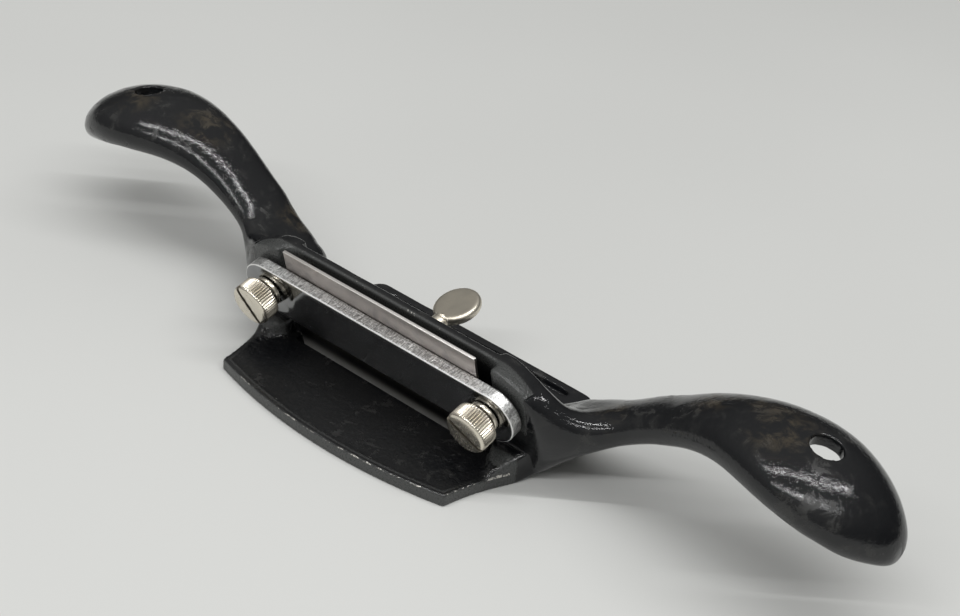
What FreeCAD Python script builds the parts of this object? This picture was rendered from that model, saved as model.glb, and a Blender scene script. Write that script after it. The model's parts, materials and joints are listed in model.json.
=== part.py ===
import FreeCAD, Part
import math
import os

os.makedirs("parts", exist_ok=True)

# Cabinet scraper (a scraper plane with spokeshave handles). Millimetres.
# X runs along the handles, the toe points to -Y, the sole lies on z = 0.
# The origin is midway between the handles and midway along the sole.
V = FreeCAD.Vector

# sole
SOLE_T = 3.6
TOE_NOSE_Y = -35.5
TOE_CORNER = (41.7, -29.9)
TOE_WAIST = (43.6, -20.5)
SOLE_SHOULDER = (47.4, -10.0)
SOLE_WIDEST = (48.0, 8.0)
HEEL_START_Y = 20.0
HEEL_REAR_Y = 35.5
HEEL_HALF = 42.8
HEEL_CORNER_R = 5.0
MOUTH_FRONT_Y = -7.0
MOUTH_HALF = 36.0
GROOVE_HALF = 33.4
GROOVE_Y = 31.0
GROOVE_W = 2.4
GROOVE_DEPTH = 2.0

# blade plane: leans forward, passing through the sole at BLADE_FOOT_Y
LEAN = math.radians(17.0)
BLADE_FOOT_Y = -3.73
BLADE_W = 69.85
BLADE_T = 0.9
BLADE_H = 37.8
GAP = 0.04

# wall and pillars behind the blade; names ending in E are measured back from
# the blade plane and names ending in H up along it
BED_E = BLADE_T / 2 + GAP
WALL_HALF = 44.0
WALL_REAR_E = 7.7
WALL_TOP_Z = 34.6
WALL_FOOT_REAR_E = 9.3
WALL_FOOT_H = 11.0
PILLAR_INNER = 36.6
PILLAR_HALF = 53.5
PILLAR_REAR_E = 9.6
RECESS_HALF = 38.4
RECESS_FOOT_H = 15.0
RECESS_E = 4.6
RELIEF_HALF = 23.0
RELIEF_E = 2.0
RELIEF_TOP_H = 16.0
BAR_ROOM_HALF = 56.0
BAR_ROOM_H = 9.5
# far enough forward for the bar, short of the toe
BAR_ROOM_FRONT_E = -14.0

# outline of wall and pillars seen along Y: the top from the wall's end outwards,
# and the underside from the neck down to the sole
SHOULDER_TOP = [(40.0, WALL_TOP_Z), (44.0, 33.7), (48.0, 31.8), (51.5, 28.8), (54.5, 24.5), (58.0, 20.0)]
SHOULDER_UNDER = [(58.0, 9.3), (54.0, 5.4), (51.0, 2.4), (48.0, 0.0)]

# web between sole and neck
WEB_INNER_X = 38.0
WEB_OUTER = (62.0, 12.8)
WEB_TOP_Z = 12.0
# ahead of the blade the web's top slopes from the toe up to the bed: (y, z)
PAD_TOE = (-17.5, SOLE_T)
PAD_BED = (-6.0, 9.6)
WEB_PLAN = [
    (38.0, -7.0), (44.0, -16.5), (47.4, -10.0), (50.4, -4.0), (55.0, 0.5),
    (62.0, 4.0), (62.0, 20.0), (52.0, 18.0), (44.0, 14.0), (38.0, 8.0),
]

# neck and paddle sections: x, centre y, centre z, half width, half thickness, squareness
HANDLE_STATIONS = [
    (40.0, 1.0, 8.0, 5.0, 6.6, 2.4),
    (46.0, 4.8, 9.4, 9.6, 7.4, 2.4),
    (51.0, 8.2, 11.4, 12.2, 7.2, 2.4),
    (56.0, 10.2, 14.4, 12.6, 6.2, 2.4),
    (62.0, 11.6, 17.9, 11.6, 5.4, 2.3),
    (70.0, 12.6, 22.6, 10.3, 5.3, 2.2),
    (80.0, 13.1, 28.2, 10.1, 6.0, 2.2),
    (92.0, 12.7, 34.0, 11.9, 6.7, 2.1),
    (104.0, 11.6, 36.8, 14.8, 7.6, 2.1),
    (116.0, 10.6, 36.6, 17.2, 8.6, 2.1),
    (128.0, 10.3, 34.2, 16.6, 8.9, 2.05),
    (136.5, 10.8, 30.8, 13.3, 8.0, 2.0),
    (142.0, 11.6, 28.1, 8.8, 6.1, 2.0),
    (145.2, 11.9, 26.2, 4.6, 3.7, 2.0),
    (146.0, 12.0, 25.6, 1.4, 1.2, 2.0),
]
SECTION_POINTS = 20

# hollow in the underside of each paddle: x, centre y, z of the open side, half width, depth
HOLLOW_STATIONS = [
    (88.0, 12.8, 26.0, 1.5, 2.5),
    (94.0, 12.6, 27.6, 6.4, 7.4),
    (104.0, 12.4, 29.2, 11.6, 10.6),
    (116.0, 12.0, 28.0, 13.8, 13.1),
    (126.0, 11.7, 26.0, 13.6, 14.0),
    (133.0, 11.6, 24.0, 10.5, 12.4),
    (139.0, 11.4, 22.4, 4.9, 8.0),
    (141.0, 11.4, 22.0, 1.5, 4.0),
]

# rim round each hollow, higher at the rear: x, z at the front, z at the rear
RIM_STATIONS = [
    (86.0, 18.0, 18.0),
    (96.0, 27.5, 29.5),
    (104.0, 30.8, 34.6),
    (116.0, 31.4, 36.2),
    (128.0, 28.6, 33.6),
    (136.5, 24.8, 29.0),
    (142.0, 21.5, 24.5),
    (150.0, 14.0, 14.0),
]
RIM_FRONT_Y = -8.0
RIM_REAR_Y = 30.0

# cheek between pillar and neck: x, then the front edge's foot and top and the rear's y: (y, z), (y, z), y
CHEEK_STATIONS = [
    (52.5, (-4.8, 4.5), (-10.6, 23.5), 4.0),
    (57.0, (-3.6, 9.0), (-7.4, 19.8), 8.0),
    (62.0, (-1.0, 13.2), (-3.0, 20.8), 10.0),
    (70.0, (3.2, 18.6), (2.8, 25.2), 12.0),
]

# hanging holes
HOLE_CENTRE = V(121.85, 11.2, 42.24)
HOLE_R = 4.35
HOLE_TILT = math.radians(8.0)

# clamp bar
BAR_T = 3.7
BAR_HALF = 49.4
BAR_H = 16.2
BAR_MID_H = 23.2
BAR_REAR_E = -(BLADE_T / 2 + GAP)
BAR_FRONT_E = BAR_REAR_E - BAR_T
BAR_HOLE_R = 3.45

# clamp screws
SCREW_X = 40.0
SCREW_H = BAR_MID_H
SHANK_R = 3.10
SHANK_L = 14.0
THREAD_HOLE_R = 3.16
HEAD_R = 6.35
HEAD_L = 5.6
RIM_L = 0.8
RIM_FRONT_R = 5.45
RIM_REAR_R = 6.1
KNURL_COUNT = 40
KNURL_DEPTH = 0.32
COLLAR_R = 4.6
COLLAR_L = 2.7
COLLAR_GROOVE_R = 4.25
COLLAR_GROOVE_W = 0.35
SLOT_W = 1.3
SLOT_DEPTH = 1.5
SLOT_LEAN_LEFT = math.radians(35.0)
SLOT_LEAN_RIGHT = math.radians(61.0)

# bow screw
BOW_H = 12.3
BOW_SHANK_R = 2.70
BOW_HOLE_R = 2.76
BOSS_R = 6.6
BOSS_END_E = 12.5
SPADE_MID_E = 29.2
SPADE_R_AXIAL = 7.4
SPADE_R_CROSS = 6.9
SPADE_T = 3.0
SPADE_ROUND = 0.8
SPADE_TURN = math.radians(9.0)
SPADE_NECK_R = 1.5
SPADE_NECK_L = 4.5
SPADE_BITE = 1.6
SPADE_NECK_BITE = 1.2

# cutting tools reach this far past the casting
REACH = 60.0

UP = V(0, -math.sin(LEAN), math.cos(LEAN))
BACK = V(0, math.cos(LEAN), math.sin(LEAN))
FOOT = V(0, BLADE_FOOT_Y, 0)


def lean_point(x, h, e):
    """Point at x along the blade, h up the blade plane and e behind it."""
    return V(x, 0, 0) + FOOT + UP * h + BACK * e


def lean_box(x0, x1, h0, h1, e0, e1):
    """Box with its faces along and square to the blade plane."""
    ring = [lean_point(x, h, e0) for x, h in ((x0, h0), (x1, h0), (x1, h1), (x0, h1))]
    face = Part.Face(Part.makePolygon(ring + [ring[0]]))
    return face.extrude(BACK * (e1 - e0))


def lean_rod(x, h, e0, e1, radius):
    """Cylinder square to the blade plane."""
    return Part.makeCylinder(radius, e1 - e0, lean_point(x, h, e0), BACK)


def mirrored(shape):
    return shape.mirror(V(0, 0, 0), V(1, 0, 0))


def ring_wire(x, yc, zc, half_y, half_z, power):
    """Closed smooth section of a neck or handle in a plane of constant x."""
    pts = []
    for i in range(SECTION_POINTS):
        ang = 2 * math.pi * i / SECTION_POINTS
        c = math.cos(ang)
        s = math.sin(ang)
        y = yc + half_y * math.copysign(abs(c) ** (2 / power), c)
        z = zc + half_z * math.copysign(abs(s) ** (2 / power), s)
        pts.append(V(x, y, z))
    curve = Part.BSplineCurve()
    curve.interpolate(pts, PeriodicFlag=True)
    return Part.Wire(curve.toShape())


def quad_loft(corners):
    """Straight-sided solid through four-cornered sections."""
    return Part.makeLoft([Part.makePolygon(ring + [ring[0]]) for ring in corners], True, True)


def below_rim():
    """Everything under a paddle's rim."""
    corners = []
    for x, front_z, rear_z in RIM_STATIONS:
        low = [V(x, RIM_FRONT_Y, -REACH), V(x, RIM_REAR_Y, -REACH)]
        corners.append(low + [V(x, RIM_REAR_Y, rear_z), V(x, RIM_FRONT_Y, front_z)])
    return quad_loft(corners)


def handle():
    """Right-hand neck and hollow-backed paddle, drilled near the end."""
    loft = Part.makeLoft([ring_wire(*station) for station in HANDLE_STATIONS], True, False)
    hollow = [ring_wire(x, y, z, half, depth, 2.0) for x, y, z, half, depth in HOLLOW_STATIONS]
    loft = loft.cut([Part.makeLoft(hollow, True, False), below_rim()])
    axis = V(math.sin(HOLE_TILT), 0, math.cos(HOLE_TILT))
    drill = Part.makeCylinder(HOLE_R, REACH, HOLE_CENTRE - axis * (REACH / 2), axis)
    return loft.cut(drill)


def sole_plate():
    """Toe and heel plate outline with a bowed front edge and swept-in sides."""
    cx, cy = TOE_CORNER
    nose = Part.Arc(V(-cx, cy, 0), V(0, TOE_NOSE_Y, 0), V(cx, cy, 0)).toShape()
    waist = Part.Arc(V(cx, cy, 0), V(*TOE_WAIST, 0), V(*SOLE_SHOULDER, 0)).toShape()
    r = HEEL_CORNER_R
    x1, y1 = HEEL_HALF, HEEL_REAR_Y
    side = Part.makePolygon([
        V(*SOLE_SHOULDER, 0), V(*SOLE_WIDEST, 0), V(x1, HEEL_START_Y, 0), V(x1, y1 - r, 0),
    ])
    k = r * (1 - math.sqrt(0.5))
    corner = Part.Arc(V(x1, y1 - r, 0), V(x1 - k, y1 - k, 0), V(x1 - r, y1, 0)).toShape()
    rear = Part.makeLine(V(x1 - r, y1, 0), V(-x1 + r, y1, 0))
    half = [waist] + list(side.Edges) + [corner]
    other = [mirrored(e) for e in half]
    edges = Part.sortEdges([nose] + half + [rear] + other)[0]
    return Part.Face(Part.Wire(edges)).extrude(V(0, 0, SOLE_T))


def prism_along_y(outline, y0, y1):
    """Prism from an (x, z) outline."""
    pts = [V(x, y0, z) for x, z in outline]
    return Part.Face(Part.makePolygon(pts + [pts[0]])).extrude(V(0, y1 - y0, 0))


def shoulder_web():
    """Flare that carries the sole's side up into the neck, its top sloping down to the toe."""
    under = [(WEB_INNER_X, 0.0)] + SHOULDER_UNDER[::-1] + [WEB_OUTER]
    high = [(WEB_OUTER[0], REACH), (WEB_INNER_X, REACH)]
    side = prism_along_y(under + high, -REACH, REACH)
    plan = [V(x, y, 0) for x, y in WEB_PLAN]
    floor = Part.Face(Part.makePolygon(plan + [plan[0]])).extrude(V(0, 0, WEB_TOP_Z))
    ahead = [(-REACH, PAD_TOE[1]), PAD_TOE, PAD_BED, (PAD_BED[0], REACH), (-REACH, REACH)]
    ring = [V(0, y, z) for y, z in ahead]
    above_pad = Part.Face(Part.makePolygon(ring + [ring[0]])).extrude(V(2 * REACH, 0, 0))
    return side.common(floor).cut(above_pad)


def cheek():
    """Fairing from the pillar's front corner back to the neck's front."""
    corners = []
    for x, (foot_y, foot_z), (top_y, top_z), rear_y in CHEEK_STATIONS:
        corners.append([V(x, foot_y, foot_z), V(x, rear_y, foot_z), V(x, rear_y, top_z), V(x, top_y, top_z)])
    return quad_loft(corners)


def upright():
    """Wall, pillars and boss behind the blade, trimmed to the shoulder outline."""
    wall = lean_box(-WALL_HALF, WALL_HALF, -REACH, REACH, BED_E, WALL_REAR_E)
    foot = lean_box(-WALL_HALF, WALL_HALF, -REACH, WALL_FOOT_H, BED_E, WALL_FOOT_REAR_E)
    pillar = lean_box(PILLAR_INNER, PILLAR_HALF, -REACH, REACH, BED_E, PILLAR_REAR_E)
    boss = lean_rod(0, BOW_H, RECESS_E, BOSS_END_E, BOSS_R)
    right = SHOULDER_TOP + SHOULDER_UNDER
    left = [(-x, z) for x, z in reversed(right)]
    skyline = prism_along_y(right + left, -REACH, REACH)
    return wall.fuse([foot, pillar, mirrored(pillar), boss]).common(skyline)


def heel_groove():
    """Round-ended slot sunk into the heel's top."""
    floor_z = SOLE_T - GROOVE_DEPTH
    corner = V(-GROOVE_HALF, GROOVE_Y - GROOVE_W / 2, floor_z)
    groove = Part.makeBox(2 * GROOVE_HALF, GROOVE_W, REACH, corner)
    for sx in (-1, 1):
        end = Part.makeCylinder(GROOVE_W / 2, REACH, V(sx * GROOVE_HALF, GROOVE_Y, floor_z))
        groove = groove.fuse(end)
    # the wall's foot stands clear of the groove, so the cutter only meets the heel
    return groove


def body_casting():
    sides = [handle(), shoulder_web(), cheek()]
    solid = sole_plate().fuse([upright()] + sides + [mirrored(side) for side in sides])
    # throat in front of the blade
    throat = Part.makeBox(2 * MOUTH_HALF, REACH, 2 * REACH, V(-MOUTH_HALF, MOUTH_FRONT_Y, -REACH))
    solid = solid.cut(throat.common(lean_box(-REACH, REACH, -REACH, REACH, -REACH, BED_E)))
    # nothing of the neck or web stands ahead of the bed beside the bar
    bar_room = lean_box(-BAR_ROOM_HALF, BAR_ROOM_HALF, BAR_ROOM_H, REACH, BAR_ROOM_FRONT_E, BED_E)
    # recess behind the blade, and the relief that lets the blade bow
    recess = lean_box(-RECESS_HALF, RECESS_HALF, RECESS_FOOT_H, REACH, 0, RECESS_E)
    relief = lean_box(-RELIEF_HALF, RELIEF_HALF, -REACH, RELIEF_TOP_H, 0, RELIEF_E)
    solid = solid.cut([bar_room, recess, relief, heel_groove()])
    # threaded holes
    solid = solid.cut(lean_rod(0, BOW_H, 0, REACH, BOW_HOLE_R))
    for sx in (-1, 1):
        solid = solid.cut(lean_rod(sx * SCREW_X, SCREW_H, 0, REACH, THREAD_HOLE_R))
    # the sole's underside is ground flat
    below = Part.makeBox(4 * REACH, 4 * REACH, REACH, V(-2 * REACH, -2 * REACH, -REACH))
    return solid.cut(below).removeSplitter()


def blade():
    slab = lean_box(-BLADE_W / 2, BLADE_W / 2, -REACH, BLADE_H, -BLADE_T / 2, BLADE_T / 2)
    above = Part.makeBox(2 * REACH, 2 * REACH, REACH, V(-REACH, -REACH, 0))
    return slab.common(above)


def clamp_bar():
    """Flat bar with round ends and two clearance holes."""
    r = BAR_H / 2
    xe = BAR_HALF - r
    top_r = lean_point(xe, BAR_MID_H + r, BAR_FRONT_E)
    top_l = lean_point(-xe, BAR_MID_H + r, BAR_FRONT_E)
    bot_r = lean_point(xe, BAR_MID_H - r, BAR_FRONT_E)
    bot_l = lean_point(-xe, BAR_MID_H - r, BAR_FRONT_E)
    tip_r = lean_point(BAR_HALF, BAR_MID_H, BAR_FRONT_E)
    tip_l = lean_point(-BAR_HALF, BAR_MID_H, BAR_FRONT_E)
    edges = [
        Part.makeLine(top_l, top_r),
        Part.Arc(top_r, tip_r, bot_r).toShape(),
        Part.makeLine(bot_r, bot_l),
        Part.Arc(bot_l, tip_l, top_l).toShape(),
    ]
    bar = Part.Face(Part.Wire(edges)).extrude(BACK * BAR_T)
    for sx in (-1, 1):
        bar = bar.cut(lean_rod(sx * SCREW_X, SCREW_H, -REACH, REACH, BAR_HOLE_R))
    return bar


def knurled_drum(x, h, e0, e1):
    """Straight-knurled drum as a fine-toothed prism."""
    pts = []
    for i in range(2 * KNURL_COUNT):
        ang = math.pi * i / KNURL_COUNT
        rad = HEAD_R if i % 2 == 0 else HEAD_R - KNURL_DEPTH
        pts.append(lean_point(x + rad * math.cos(ang), h + rad * math.sin(ang), e0))
    return Part.Face(Part.makePolygon(pts + [pts[0]])).extrude(BACK * (e1 - e0))


def clamp_screw(x, slot_lean):
    """Knurled head with a screwdriver slot, grooved shoulder and shank.

    slot_lean turns the slot away from upright, its top towards the left handle.
    """
    collar_end = BAR_FRONT_E - GAP
    head_rear = collar_end - COLLAR_L
    head_front = head_rear - HEAD_L
    rim = Part.makeCone(RIM_FRONT_R, RIM_REAR_R, RIM_L, lean_point(x, SCREW_H, head_front), BACK)
    drum = knurled_drum(x, SCREW_H, head_front + RIM_L, head_rear)
    ring_l = (COLLAR_L - COLLAR_GROOVE_W) / 2
    collar = lean_rod(x, SCREW_H, head_rear, head_rear + ring_l, COLLAR_R)
    core = lean_rod(x, SCREW_H, head_rear, collar_end, COLLAR_GROOVE_R)
    washer_face = lean_rod(x, SCREW_H, collar_end - ring_l, collar_end, COLLAR_R)
    shank = lean_rod(x, SCREW_H, collar_end, collar_end + SHANK_L, SHANK_R)
    solid = rim.fuse([drum, collar, core, washer_face, shank])
    half = SLOT_W / 2
    low = SCREW_H - HEAD_R
    high = SCREW_H + HEAD_R
    slot = lean_box(x - half, x + half, low, high, head_front, head_front + SLOT_DEPTH)
    slot.rotate(lean_point(x, SCREW_H, head_front), BACK, math.degrees(-slot_lean))
    return solid.cut(slot).removeSplitter()


def bow_screw():
    """Thumb screw with a flat oval spade, bearing on the middle of the blade."""
    tip_e = BLADE_T / 2 + GAP
    across = V(1, 0, 0) * math.cos(SPADE_TURN) + UP * math.sin(SPADE_TURN)
    normal = BACK.cross(across)
    mid = lean_point(0, BOW_H, SPADE_MID_E)

    def outline(offset, inset):
        """Spade outline at a distance from its mid-plane, drawn in by inset."""
        at = mid + normal * offset
        major = at + BACK * (SPADE_R_AXIAL - inset)
        minor = at + across * (SPADE_R_CROSS - inset)
        return Part.Wire(Part.Ellipse(major, minor, at).toShape())

    half = SPADE_T / 2
    flat = half - SPADE_ROUND
    layers = [(-half, SPADE_ROUND), (-flat, 0), (flat, 0), (half, SPADE_ROUND)]
    spade = [Part.makeLoft([outline(*a), outline(*b)], True, True) for a, b in zip(layers, layers[1:])]
    spade_foot = SPADE_MID_E - SPADE_R_AXIAL
    shank = lean_rod(0, BOW_H, tip_e, spade_foot + SPADE_BITE, BOW_SHANK_R)
    neck_start = lean_point(0, BOW_H, spade_foot + SPADE_NECK_BITE)
    neck = Part.makeCone(BOW_SHANK_R, SPADE_NECK_R, SPADE_NECK_L, neck_start, BACK)
    return shank.fuse([neck] + spade).removeSplitter()


NODES = {
    "body_casting": body_casting(),
    "scraper_blade": blade(),
    "clamp_bar": clamp_bar(),
    "clamp_screw_left": clamp_screw(-SCREW_X, SLOT_LEAN_LEFT),
    "clamp_screw_right": clamp_screw(SCREW_X, SLOT_LEAN_RIGHT),
    "bow_screw": bow_screw(),
}

for name, shape in NODES.items():
    box = shape.BoundBox
    corners = (box.XMin, box.XMax, box.YMin, box.YMax, box.ZMin, box.ZMax)
    print(name, "solids", len(shape.Solids), "valid", shape.isValid(), "volume", round(shape.Volume, 1))
    print("    box", [round(v, 1) for v in corners])
    shape.exportStep("parts/" + name + ".step")
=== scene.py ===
import json
import math

import bmesh
import bpy
import numpy as np
from mathutils import Matrix, Vector, noise
from mathutils.geometry import delaunay_2d_cdt


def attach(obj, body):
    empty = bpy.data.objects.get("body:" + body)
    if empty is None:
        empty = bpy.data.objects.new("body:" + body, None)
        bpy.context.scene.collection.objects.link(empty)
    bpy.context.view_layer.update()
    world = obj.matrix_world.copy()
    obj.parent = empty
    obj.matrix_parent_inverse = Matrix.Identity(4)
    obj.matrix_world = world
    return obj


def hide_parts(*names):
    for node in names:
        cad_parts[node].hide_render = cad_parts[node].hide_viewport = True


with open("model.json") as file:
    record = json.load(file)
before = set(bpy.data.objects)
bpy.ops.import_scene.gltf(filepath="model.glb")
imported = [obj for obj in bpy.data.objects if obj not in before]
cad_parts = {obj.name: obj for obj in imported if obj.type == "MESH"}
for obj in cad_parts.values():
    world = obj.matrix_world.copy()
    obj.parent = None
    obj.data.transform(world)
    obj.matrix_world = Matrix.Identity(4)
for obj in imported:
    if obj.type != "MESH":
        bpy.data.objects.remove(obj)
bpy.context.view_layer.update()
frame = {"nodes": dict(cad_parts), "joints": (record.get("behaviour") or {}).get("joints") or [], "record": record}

# Cabinet scraper with spokeshave handles. Everything is in metres, in the frame's axes:
# X runs along the handles, the toe points to -Y, the sole rests on z = 0.
MM = 0.001
JOINTS = {j["name"]: j for j in frame["joints"]}
X_AXIS = Vector((1, 0, 0))
UP = Vector(JOINTS["blade_lift"]["axis"]).normalized()        # up along the leaning blade
BACK = Vector(JOINTS["bow_screw_turn"]["axis"]).normalized()  # square to the blade, rearwards

# ---------------------------------------------------------------- mesh helpers

NORMALS_EVERY = 10  # fillet rounds between fresh normals
EASE = 0.5          # how far towards its neighbours one smoothing round moves a point


def new_object(name, mesh):
    piece = bpy.data.objects.new(name, mesh)
    bpy.context.scene.collection.objects.link(piece)
    return piece


def object_from_bmesh(name, bm):
    bmesh.ops.recalc_face_normals(bm, faces=bm.faces)
    mesh = bpy.data.meshes.new(name)
    bm.to_mesh(mesh)
    bm.free()
    return new_object(name, mesh)


def welded_copy(node):
    """The node's mesh as a closed bmesh, with its seam vertices joined."""
    bm = bmesh.new()
    bm.from_mesh(frame["nodes"][node].data)
    bmesh.ops.remove_doubles(bm, verts=bm.verts, dist=1e-7)
    return bm


def voxel_skin(piece, voxel):
    """Replaces a piece's mesh with one even skin around all of its closed shells."""
    remesh = piece.modifiers.new("skin", "REMESH")
    remesh.mode = "VOXEL"
    remesh.voxel_size = voxel
    graph = bpy.context.evaluated_depsgraph_get()
    skin = bpy.data.meshes.new_from_object(piece.evaluated_get(graph))
    piece.modifiers.clear()
    piece.data = skin


def coordinates(mesh):
    co = np.zeros(len(mesh.vertices) * 3)
    mesh.vertices.foreach_get("co", co)
    return co.reshape(-1, 3)


def edge_pairs(mesh):
    pairs = np.zeros(len(mesh.edges) * 2, int)
    mesh.edges.foreach_get("vertices", pairs)
    return pairs.reshape(-1, 2)


def neighbour_mean(co, edges):
    near = np.zeros_like(co)
    share = np.bincount(edges.ravel(), minlength=len(co))
    for k in range(3):
        near[:, k] = np.bincount(edges[:, 0], co[edges[:, 1], k], len(co))
        near[:, k] += np.bincount(edges[:, 1], co[edges[:, 0], k], len(co))
    return near / np.maximum(share, 1)[:, None]


def edges_near(edges, weight):
    """The edges that touch a vertex with any weight."""
    live = weight > 1e-4
    return edges[live[edges[:, 0]] | live[edges[:, 1]]]


def relax(co, edges, weight, rounds):
    """Draws each vertex towards its neighbours, by its weight, several times."""
    near = edges_near(edges, weight)
    for _ in range(rounds):
        co = co + weight[:, None] * (neighbour_mean(co, near) - co)
    return co


def fillet(mesh, co, edges, weight, rounds):
    """Fills inner corners: vertices move only outwards, towards their neighbours' level."""
    near = edges_near(edges, weight)
    for i in range(rounds):
        if i % NORMALS_EVERY == 0:
            normals = vertex_normals(mesh, co)
        rise = np.einsum("ij,ij->i", neighbour_mean(co, near) - co, normals)
        co = co + normals * (weight * np.maximum(rise, 0))[:, None]
    return co


def vertex_normals(mesh, co):
    mesh.vertices.foreach_set("co", co.ravel())
    mesh.update()
    normals = np.zeros(len(co) * 3)
    mesh.vertex_normals.foreach_get("vector", normals)
    return normals.reshape(-1, 3)


def store_attribute(mesh, name, values):
    attribute = mesh.attributes.new(name, "FLOAT", "POINT")
    attribute.data.foreach_set("value", values.astype(np.float32))


def smooth_step(values, low, high):
    t = np.clip((values - low) / (high - low), 0, 1)
    return t * t * (3 - 2 * t)


def noise_field(co, wavelength, octaves=1, seed=0.0):
    """Smooth noise from about -1 to 1 at each point."""
    shift = Vector((seed, seed * 1.7, seed * 2.3))
    out = np.zeros(len(co))
    for i, p in enumerate(co):
        at = Vector(p) / wavelength + shift
        size = 1.0
        for _ in range(octaves):
            out[i] += size * noise.noise(at)
            at = at * 2.03
            size *= 0.5
    return out


def lean_matrix(origin):
    """Local x along the handles, y up the blade, z forwards off the bar's face."""
    forward = -BACK
    m = Matrix((X_AXIS, UP, forward)).transposed().to_4x4()
    m.translation = origin
    return m


def shade_smooth(piece, angle=None):
    mesh = piece.data
    mesh.shade_smooth()
    if angle is not None:
        mesh.set_sharp_from_angle(angle=math.radians(angle))


def finish_piece(piece, body, node, material):
    piece.data.materials.clear()
    piece.data.materials.append(material)
    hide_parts(node)
    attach(piece, body)


# ---------------------------------------------------------------- materials


class Shader:
    """Short names for building one material's nodes."""

    def __init__(self, name):
        self.material = bpy.data.materials.new(name)
        self.material.use_nodes = True
        self.tree = self.material.node_tree
        self.shader = self.tree.nodes["Principled BSDF"]
        self.place = self.node("ShaderNodeTexCoord").outputs["Object"]

    def node(self, kind, **settings):
        made = self.tree.nodes.new(kind)
        for key, value in settings.items():
            setattr(made, key, value)
        return made

    def wire(self, value, socket):
        if isinstance(value, bpy.types.NodeSocket):
            self.tree.links.new(value, socket)
        elif isinstance(value, tuple) and len(value) == 3 and socket.type == "RGBA":
            socket.default_value = (*value, 1)
        else:
            socket.default_value = value

    def stretched(self, scale, rotation=(0, 0, 0)):
        mapping = self.node("ShaderNodeMapping")
        self.wire(self.place, mapping.inputs["Vector"])
        mapping.inputs["Scale"].default_value = scale
        mapping.inputs["Rotation"].default_value = rotation
        return mapping.outputs["Vector"]

    def noise(self, wavelength, detail=2.0, roughness=0.5, distortion=0.0, vector=None):
        made = self.node("ShaderNodeTexNoise")
        self.wire(vector or self.place, made.inputs["Vector"])
        made.inputs["Scale"].default_value = 1 / wavelength
        made.inputs["Detail"].default_value = detail
        made.inputs["Roughness"].default_value = roughness
        made.inputs["Distortion"].default_value = distortion
        return made.outputs["Fac"]

    def attribute(self, name):
        return self.node("ShaderNodeAttribute", attribute_name=name).outputs["Fac"]

    def ramp(self, value, low, high, out_low=0.0, out_high=1.0):
        made = self.node("ShaderNodeMapRange", interpolation_type="SMOOTHSTEP")
        for socket, v in zip(made.inputs, (value, low, high, out_low, out_high)):
            self.wire(v, socket)
        return made.outputs["Result"]

    def math(self, operation, a, b=0.0):
        made = self.node("ShaderNodeMath", operation=operation)
        self.wire(a, made.inputs[0])
        self.wire(b, made.inputs[1])
        return made.outputs[0]

    def mix(self, factor, a, b):
        made = self.node("ShaderNodeMix", data_type="RGBA")
        self.wire(factor, made.inputs[0])
        self.wire(a, made.inputs[6])
        self.wire(b, made.inputs[7])
        return made.outputs[2]

    def bump(self, height, depth, strength=1.0, under=None):
        made = self.node("ShaderNodeBump")
        made.inputs["Strength"].default_value = strength
        made.inputs["Distance"].default_value = depth
        self.wire(height, made.inputs["Height"])
        if under is not None:
            self.wire(under, made.inputs["Normal"])
        return made.outputs["Normal"]

    def set(self, **inputs):
        for name, value in inputs.items():
            self.wire(value, self.shader.inputs[name.replace("_", " ")])
        return self.material


LACQUER = (0.0048, 0.0052, 0.0062)
# dust on the japanning, also used as a painted sheen on the toe's face, border and sides; then a lighter painted
# sheen for the toe's sides
SHEEN_DUST_LACQUER = (0.024, 0.024, 0.023)
PAINTED_SIDE_SHEEN = (0.046, 0.048, 0.047)
RUBBED_BROWN = (0.070, 0.055, 0.034)
BARE_IRON = (0.62, 0.60, 0.56)
STEEL_PINKISH = (0.50, 0.455, 0.43)
STEEL_HONED = (0.58, 0.57, 0.55)
STEEL_BRIGHT = (0.86, 0.86, 0.85)
STEEL_POLISHED = (0.27, 0.272, 0.275)
# painted shade: near black for the blade below the clamp bar, where the bar shades it
PAINTED_BAR_SHADE = (0.035, 0.034, 0.034)
STEEL_STAINED = (0.36, 0.33, 0.32)
STEEL_BURNISHED = (0.88, 0.85, 0.82)
STEEL_CLOUDED = (0.24, 0.245, 0.25)
STEEL_CUT = (0.26, 0.26, 0.258)
# painted highlight: near white for the bar's rounded front rim
PAINTED_LIP_HIGHLIGHT = (0.96, 0.96, 0.95)
NICKEL_WARM = (0.74, 0.69, 0.59)
NICKEL_TARNISHED = (0.46, 0.41, 0.32)
NICKEL_GRIME = (0.07, 0.055, 0.035)
FLOOR_PALE = (0.60, 0.605, 0.59)
FLOOR_PALER = (0.63, 0.635, 0.62)


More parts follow.
